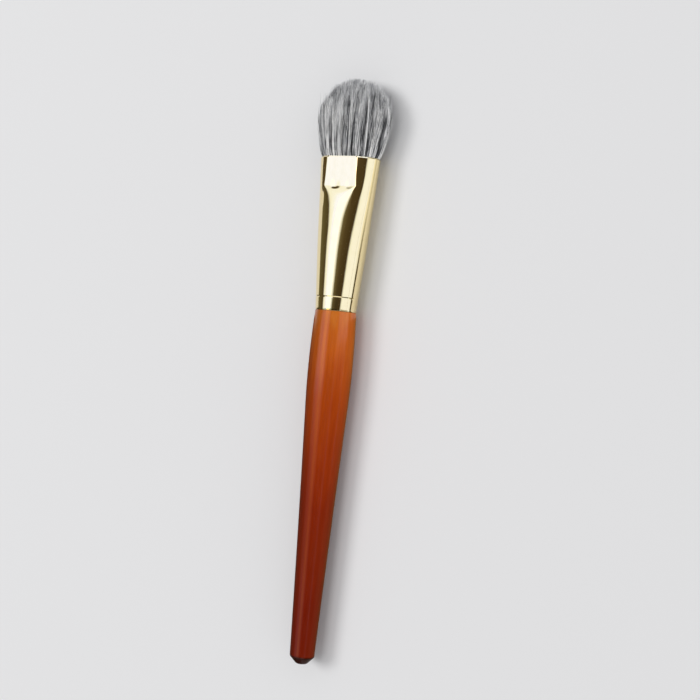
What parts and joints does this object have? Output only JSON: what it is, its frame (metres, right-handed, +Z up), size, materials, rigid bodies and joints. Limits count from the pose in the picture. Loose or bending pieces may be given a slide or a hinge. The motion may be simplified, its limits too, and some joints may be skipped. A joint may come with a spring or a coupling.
{
  "type": "blush brush",
  "caption": "Slim blush brush: an oval domed head of soft hair in a flared metal ferrule that is pressed flat at its mouth, on a turned and lacquered wooden handle.",
  "frame": {"origin": "on the surface that the brush lies on, under the middle of its length", "axes": "+X along the brush's axis from the butt to the tips of the hair, +Y across the broad side of the head, +Z up, square to the ferrule's pressed panel; the brush lies level on the swell of its ferrule"},
  "size_m": [0.1685, 0.0231, 0.0131],
  "materials": {
    "lacquered_wood": "turned hardwood, stained orange-brown at the ferrule to dark red-brown at the butt, under smooth satin lacquer",
    "gold_plate": "bright polished pale gold plating",
    "hair": "soft natural hair, grey with black and white streaks",
    "resin": "cast potting resin, amber brown",
    "thread": "waxed cotton thread",
    "glue": "set wood glue"
  },
  "bodies": {
    "root": {"handle": "lacquered_wood", "ferrule": "gold_plate", "hair_tuft": "hair", "hair_root_plug": "resin", "root_binding": "thread", "tenon_glue": "glue"}
  },
  "joints": []
}
